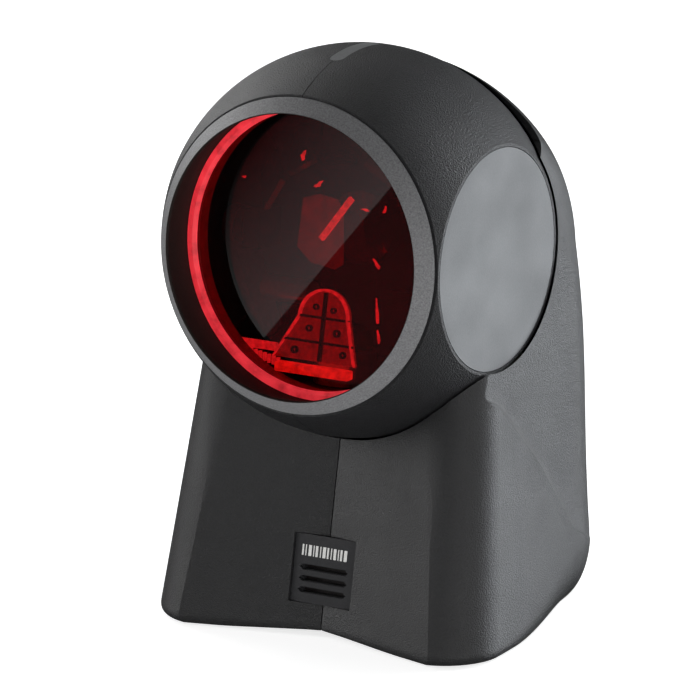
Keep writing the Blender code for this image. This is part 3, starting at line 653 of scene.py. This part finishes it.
def make_head_shells():
    inner = slice_off(ball(BALL_R - WALL, 96, 48), (FLAT_X - FLAT_WALL, 0, 0), (1, 0, 0))
    inner = slice_off(inner, (-FLAT_X + FLAT_WALL, 0, 0), (-1, 0, 0))
    room = finish_mesh("c_head_room", inner, None, None, True, shown=False)
    mouth = finish_mesh("c_mouth", rod("Y", BEZEL_SKIRT_R + 0.25, -70.0, -12.0, segments=200),
                        None, None, True, shown=False)
    caps = finish_mesh("c_caps", rod("X", CAP_R + 0.12, -60.0, 60.0, segments=160), None, None, True,
                       shown=False)
    pipe = finish_mesh("c_pipe", prism(pipe_outline(0.12), 40.0, 60.0, "Z"), None, None, True, shown=False)
    for word, side in (("right", 1), ("left", -1)):
        solid = slice_off(ball(BALL_R), (side * FLAT_X, 0, 0), (side, 0, 0))
        solid = slice_off(solid, (side * 0.1, 0, 0), (-side, 0, 0))
        solid = slice_off(solid, (0, -MOUTH_W, 0), (0, -1, 0))
        shell = finish_mesh(f"head_housing_{word}", solid, "shell", "head", True)
        low, high = sorted((side * (ARM_X[0] - ARM_PLAY), side * (ARM_X[1] + ARM_PLAY)))
        slot = finish_mesh("c_arm_slot", prism(arm_slot_outline(), low, high, "X"), None, None, True,
                           shown=False)
        carve(shell, (room, mouth, caps, pipe, slot))
        drop((slot,))
        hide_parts(f"head_shell_{word}")
        low, high = sorted((side * (FLAT_X - FLAT_WALL), side * FLAT_X))
        cap = finish_mesh(f"side_disc_{word}", rod("X", CAP_R, low, high, segments=160), "cap", "head",
                          True)
        soften(cap, 0.12)
        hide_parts(f"side_cap_{word}")
    drop((room, mouth, caps, pipe))


def seam_arc(start_deg, end_deg):
    """Side view of a band just inside the ball's wall, angles from the top towards the back."""
    steps = 24
    points = []
    for radius in (TONGUE_R - TONGUE_T, TONGUE_R):
        arc = []
        for step in range(steps + 1):
            angle = math.radians(start_deg + (end_deg - start_deg) * step / steps)
            arc.append((radius * math.sin(angle), radius * math.cos(angle)))
        points += arc if radius == TONGUE_R else arc[::-1]
    return points


def make_seam_tongues():
    """Tongues that close the mould seams from inside, so no light shows through them."""
    half = TONGUE_HALF_W
    bands = [prism(seam_arc(*span), -half, half, "X") for span in ((-35.5, -20.5), (9.0, 212.0))]
    head = finish_mesh("head_seam_tongue", joined(bands), "frame", "head", True)
    base = finish_mesh("base_seam_tongue", box((-half, -5.5, -88.0), (half, -3.5, -50.6)), "frame",
                       "root")


def make_light_pipe():
    lens = finish_mesh("status_lens", prism(pipe_outline(0.0), 45.0, 60.0, "Z"), "pipe", "head", True)
    outside = finish_mesh("c_outside", ball(BALL_R - 0.05), None, None, True, shown=False)
    carve(lens, (outside,), operation="INTERSECT")
    drop((outside,))
    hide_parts("status_light_pipe")


def make_bezel():
    profile = [(BEZEL_EDGE_R, BEZEL_EDGE_W), (BEZEL_EDGE_R - 0.3, BEZEL_EDGE_W - 0.8),
               (GLASS_R + 0.25, GLASS_W + PART_GAP + RING_T + 0.2),
               (GLASS_R + 0.25, GLASS_W - GLASS_T - 0.4), (BEZEL_SKIRT_R, GLASS_W - GLASS_T - 0.4),
               (BEZEL_SKIRT_R, MOUTH_W + 0.1), (BEZEL_R, MOUTH_W + 0.3), (BEZEL_R, 30.05)]
    bezel = finish_mesh("bezel_ring", turned(profile), "bezel", "head", True)
    # painted shade on the bezel's inner wall
    shade_inner_wall(bezel)
    soften(bezel, 0.22, 3, 20.0)
    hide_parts("front_bezel")


def shade_inner_wall(bezel):
    """The wall between the bezel's front edge and the window is matt, not satin, and far darker: painted
    shade in the recess.
    """
    bezel.data.materials.append(LOOK["shaded_bezel_wall"])
    back = HEAD_TURN.inverted()
    for face in bezel.data.polygons:
        centre = back @ (face.center - CENTRE)
        outward = back @ face.normal
        if centre.x * outward.x + centre.z * outward.z < 0.0 and -centre.y < BEZEL_EDGE_W * MM:
            face.material_index = 1


def make_window():
    front = GLASS_W + PART_GAP
    profile = [(RING_INNER_R, front), (GLASS_R, front), (GLASS_R, front + RING_T),
               (RING_INNER_R + 0.9, front + RING_T), (RING_INNER_R, front + 0.3)]
    # the ring's emission is painted light
    ring = finish_mesh("window_ring", turned(profile), "ring", "head", True)
    soften(ring, 0.12, 2, 20.0)
    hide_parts("window_retainer")
    glass = finish_mesh("window_pane", rod("Y", GLASS_R, -GLASS_W, -GLASS_W + GLASS_T, segments=160),
                        "glass", "head", True)
    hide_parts("scan_window")
    # faint painted glow on the tube behind the ring
    tube = [(36.4, GLASS_W - GLASS_T - 0.7), (37.2, GLASS_W - GLASS_T - 0.7), (37.0, 13.6), (36.2, 13.6)]
    wall = finish_mesh("window_light_wall", turned(tube, segments=120), "haze", "head", True)


FAN_SPOT = Vector((-1.5, -13.8, -29.5))
FAN_TIP = -8.0
FAN_FOOT = (13.8, 10.4)
FAN_TOP = 7.4
FAN_HEIGHT = 18.6


def tip_and_place(bm):
    turn = Matrix.Rotation(math.radians(FAN_TIP), 3, "X")
    bmesh.ops.rotate(bm, cent=(0, 0, 0), matrix=turn, verts=bm.verts)
    bmesh.ops.translate(bm, vec=FAN_SPOT, verts=bm.verts)
    return bm


def fan_outline(grow=0.0):
    """Bell outline, its left leg reaching out further than its right one."""
    top = FAN_TOP + grow
    points = [(-FAN_FOOT[0] - grow, -grow)]
    for step in range(17):
        angle = math.pi * (1.0 - step / 16.0)
        points.append((top * math.cos(angle), FAN_HEIGHT - FAN_TOP + top * math.sin(angle)))
    points.append((FAN_FOOT[1] + grow, -grow))
    return points


def make_fan():
    # the plate's red glow is painted light
    plate = finish_mesh("fan_plate", tip_and_place(prism(fan_outline(), 0.0, 1.0, "Y")),
                        "fan", "head", True)
    soften(plate, 0.2)
    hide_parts("beam_fan_bracket")
    outer = fan_outline()
    inner = fan_outline(-0.6)
    rim = bmesh.new()
    rings = []
    for outline, y in ((outer, -1.0), (outer, 0.0), (inner, 0.0), (inner, -1.0)):
        rings.append([rim.verts.new((x, y, z)) for x, z in outline])
    for a in range(4):
        for i in range(len(outer) - 1):
            here, there = rings[a], rings[(a + 1) % 4]
            rim.faces.new((here[i], here[i + 1], there[i + 1], there[i]))
    rim.faces.new([ring[0] for ring in rings])
    rim.faces.new([ring[-1] for ring in reversed(rings)])
    # the rim's bright red line is a painted highlight
    edge = finish_mesh("fan_rim", tip_and_place(rim), "rib", "head", True)
    parts = [box((-0.4, -1.0, 0.2), (0.4, 0.0, 17.6)), box((-11.6, -0.9, 4.6), (9.2, 0.0, 5.2)),
             box((-7.6, -0.9, 10.9), (7.4, 0.0, 11.5))]
    for x, z, radius in ((-7.6, 2.3, 1.0), (6.6, 2.6, 0.9), (-4.0, 8.2, 0.9), (4.2, 7.8, 1.0),
                         (2.6, 13.4, 0.8), (-2.6, 13.8, 0.8)):
        parts.append(turned([(0.45, 0.0), (radius, 0.0), (radius, 0.8), (0.45, 0.8)], segments=24))
        bmesh.ops.translate(parts[-1], vec=(x, 0, z), verts=parts[-1].verts)
    ribs = finish_mesh("fan_ribs", tip_and_place(joined(parts)), "frame", "head", True)


def shard_outline(wide, high):
    """A small ragged outline within a width and height."""
    points = []
    for step in range(12):
        angle = 2.0 * math.pi * step / 12.0
        reach = 0.5 + 0.16 * math.sin(3.0 * angle + 5.0 * wide) + 0.12 * math.cos(5.0 * angle + high)
        points.append((wide * reach * math.cos(angle), high * reach * math.sin(angle)))
    return points


def lit_reflector():
    """A dim, slightly crooked plate behind the mirrors, its faint glow painted light."""
    return prism(((-10.2, -1.0), (-6.0, -4.6), (1.0, -5.6), (3.4, -4.0), (3.0, 9.0), (1.2, 12.2),
                  (-4.2, 13.0), (-8.8, 11.6)), -12.4, -12.0, "Y")


def make_glints():
    """The bright foot strip, its comb, the slanted mirror edge and small lit corners, all painted glints
    that glow by emission.
    """
    x, y, z = FAN_SPOT
    # the strip's brightness is painted light (emission)
    strip = finish_mesh("lit_strip", box((x - 12.0, y - 2.6, z - 3.3), (x + 9.6, y + 0.4, z - 0.9)),
                        "strip", "head", True)
    soften(strip, 0.3)
    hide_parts("beam_strip_mirror")
    comb = []
    for step in range(9):
        left = -25.5 + 1.35 * step
        comb.append(box((left, -13.5, -30.2 - 0.25 * step), (left + 0.7, -12.6, -28.0 - 0.25 * step)))
    comb.append(box((-27.0, -12.6, -28.6), (-15.0, -12.2, -26.4)))
    teeth = finish_mesh("lit_comb", joined(comb), "rib", "head", True)
    edge = box((-0.7, -0.6, -7.0), (0.7, 0.6, 7.0))
    bmesh.ops.rotate(edge, cent=(0, 0, 0), matrix=Matrix.Rotation(math.radians(37.0), 3, "Y"),
                     verts=edge.verts)
    bmesh.ops.translate(edge, vec=(1.5, -13.0, 7.5), verts=edge.verts)
    mirror_edge = finish_mesh("lit_mirror_edge", edge, "rib", "head", True)
    chips = []
    for cx, cz, w, h, turn in ((-8.7, 22.4, 0.9, 2.6, 12.0), (-4.0, 15.6, 2.6, 0.9, -40.0),
                               (10.0, 10.8, 2.0, 0.5, 10.0), (15.6, 11.4, 0.5, 1.8, 20.0),
                               (13.8, -2.6, 0.6, 2.8, -38.0), (-26.0, 15.0, 1.0, 0.5, 0.0),
                               (14.4, -15.0, 0.6, 5.0, -6.0), (15.0, -21.0, 0.5, 3.0, -10.0)):
        chip = prism(shard_outline(w, h), -0.3, 0.3, "Y")
        bmesh.ops.rotate(chip, cent=(0, 0, 0), matrix=Matrix.Rotation(math.radians(turn), 3, "Y"),
                         verts=chip.verts)
        bmesh.ops.translate(chip, vec=(cx, -13.2, cz), verts=chip.verts)
        chips.append(chip)
    glints = finish_mesh("lit_corners", joined(chips), "rib", "head", True)
    card = finish_mesh("lit_reflector", lit_reflector(), "haze", "head", True)


def dress_cad_nodes():
    """The CAD nodes that stay get finished materials."""
    looks = {
        "rubber": "rubber", "bottom_plastic": "hood", "frame_plastic": "frame", "mirror": "mirror",
        "steel": "steel", "zinc_screw": "steel", "circuit_board": "board", "socket_plastic": "cover",
        "washer_plastic": "cover", "red_glass": "glass", "red_ring": "ring", "light_pipe": "pipe",
        "red_lit_plastic": "fan", "charcoal_shell": "shell", "smooth_charcoal": "cap",
        "satin_bezel": "bezel", "cover_plastic": "cover",
    }
    slots = {part["node"]: part["material_slot"] for part in frame["record"]["subparts"]}
    for name, obj in frame["nodes"].items():
        obj.data.materials.clear()
        obj.data.materials.append(LOOK[looks[slots[name]]])


# ---- stage -------------------------------------------------------------------------------
VIEW_AZIMUTH = math.radians(31.5)
VIEW_ELEVATION = math.radians(14.29)
VIEW_DISTANCE = 1.7446
LENS = 355.4
AIM_RIGHT = -0.002227
AIM_UP = -0.02777


def make_camera():
    back = Vector((math.sin(VIEW_AZIMUTH) * math.cos(VIEW_ELEVATION),
                   -math.cos(VIEW_AZIMUTH) * math.cos(VIEW_ELEVATION), math.sin(VIEW_ELEVATION)))
    right = Vector((math.cos(VIEW_AZIMUTH), math.sin(VIEW_AZIMUTH), 0.0))
    up = back.cross(right)
    data = bpy.data.cameras.new("camera")
    data.sensor_width = 36.0
    data.lens = LENS
    data.clip_end = 50.0
    camera = bpy.data.objects.new("camera", data)
    turn = Matrix((right, up, back)).transposed()
    camera.matrix_world = Matrix.Translation(
        CENTRE + back * VIEW_DISTANCE + right * AIM_RIGHT + up * AIM_UP) @ turn.to_4x4()
    bpy.context.scene.collection.objects.link(camera)
    bpy.context.scene.camera = camera


def area_light(name, direction, distance, size, power, colour=(1.0, 1.0, 1.0)):
    """A soft rectangular lamp seen only in light and reflections, facing the object."""
    data = bpy.data.lights.new(name, "AREA")
    data.shape = "RECTANGLE"
    data.size = size[0]
    data.size_y = size[1]
    data.energy = power
    data.color = colour
    lamp = bpy.data.objects.new(name, data)
    way = Vector(direction).normalized()
    turn = way.to_track_quat("Z", "Y").to_matrix().to_4x4()
    lamp.matrix_world = Matrix.Translation(CENTRE + way * distance) @ turn
    lamp.visible_camera = False
    bpy.context.scene.collection.objects.link(lamp)
    return lamp


def make_stage():
    world = bpy.data.worlds.new("studio")
    world.use_nodes = True
    world.node_tree.nodes["Background"].inputs["Color"].default_value = (1.0, 1.0, 1.0, 1.0)
    world.node_tree.nodes["Background"].inputs["Strength"].default_value = 0.06
    bpy.context.scene.world = world
    bpy.context.scene.view_settings.view_transform = "Standard"
    bm = bmesh.new()
    bmesh.ops.create_circle(bm, cap_ends=True, segments=96, radius=9.0)
    mesh = bpy.data.meshes.new("floor")
    bm.to_mesh(mesh)
    bm.free()
    floor = bpy.data.objects.new("floor", mesh)
    bpy.context.scene.collection.objects.link(floor)
    made, _, _, shader = new_material("pale_floor")
    shader.inputs["Base Color"].default_value = (0.9, 0.9, 0.9, 1.0)
    shader.inputs["Roughness"].default_value = 0.9
    shader.inputs["Specular IOR Level"].default_value = 0.0
    shader.inputs["Emission Color"].default_value = (1.0, 1.0, 1.0, 1.0)
    shader.inputs["Emission Strength"].default_value = 0.75
    mesh.materials.append(made)
    floor.visible_glossy = False


WINDOW_VIEW = Vector((-0.506, -0.851, -0.1425))
CARD_DISTANCE = 0.35
CARD_EDGE = (Vector((17.3, 0.0, 21.0)), Vector((-21.6, 0.0, -25.6)))


def make_window_card():
    """A dim studio card that only the window mirrors; its edge crosses the glass slantwise."""
    along = (CARD_EDGE[0] - CARD_EDGE[1]).normalized()
    away = Vector((-along.z, 0.0, along.x))
    middle = (CARD_EDGE[0] + CARD_EDGE[1]) / 2.0
    grow = 1.0 + CARD_DISTANCE / VIEW_DISTANCE
    corners = []
    for run, reach in ((-70.0, 0.0), (70.0, 0.0), (70.0, 36.0), (-70.0, 36.0)):
        flat = (middle + along * run + away * reach) * grow
        on_glass = CENTRE + HEAD_TURN @ Vector((flat.x, -GLASS_W, flat.z)) * MM
        corners.append(on_glass + WINDOW_VIEW * CARD_DISTANCE)
    mesh = bpy.data.meshes.new("window_card")
    mesh.from_pydata(corners, [], [(0, 1, 2, 3)])
    made, nodes, links, shader = new_material("card_white")
    shader.inputs["Base Color"].default_value = (0.0, 0.0, 0.0, 1.0)
    shader.inputs["Emission Color"].default_value = (1.0, 0.97, 0.97, 1.0)
    mesh.uv_layers.new(name="UVMap")
    for loop, spot in zip(mesh.uv_layers["UVMap"].data, ((0, 0), (1, 0), (1, 1), (0, 1))):
        loop.uv = spot
    coords = nodes.new("ShaderNodeTexCoord")
    split = nodes.new("ShaderNodeSeparateXYZ")
    fade = nodes.new("ShaderNodeMapRange")
    fade.inputs["To Min"].default_value = 0.62
    fade.inputs["To Max"].default_value = 0.0
    links.new(coords.outputs["UV"], split.inputs["Vector"])
    links.new(split.outputs["Y"], fade.inputs["Value"])
    links.new(fade.outputs["Result"], shader.inputs["Emission Strength"])
    mesh.materials.append(made)
    card = bpy.data.objects.new("window_card", mesh)
    bpy.context.scene.collection.objects.link(card)
    card.visible_camera = False
    card.visible_diffuse = False
    card.visible_transmission = False
    card.visible_shadow = False


def make_lights():
    area_light("top_soft", (0.1, 0.45, 1.0), 0.9, (0.7, 0.5), 1.1)
    area_light("right_back_soft", (0.60, 0.80, -0.05), 0.9, (0.5, 0.8), 9.5, (0.92, 0.96, 1.0))
    area_light("back_high_soft", (0.5, 0.83, 0.30), 0.9, (0.3, 0.2), 1.8, (0.94, 0.97, 1.0))
    area_light("right_low_soft", (0.9, -0.35, -0.05), 0.9, (0.3, 0.4), 2.6)
    area_light("left_back_soft", (-1.0, 0.45, 0.45), 0.9, (0.5, 0.6), 3.0)
    area_light("left_soft", (-0.86, -0.45, 0.12), 0.8, (0.35, 0.8), 3.6)
    area_light("front_right_soft", (0.32, -1.0, 0.02), 1.1, (0.45, 0.6), 2.2)
    make_window_card()


make_camera()
make_base()
make_cover()
make_head_shells()
make_seam_tongues()
make_light_pipe()
make_bezel()
make_window()
make_fan()
make_glints()
dress_cad_nodes()
make_stage()
make_lights()
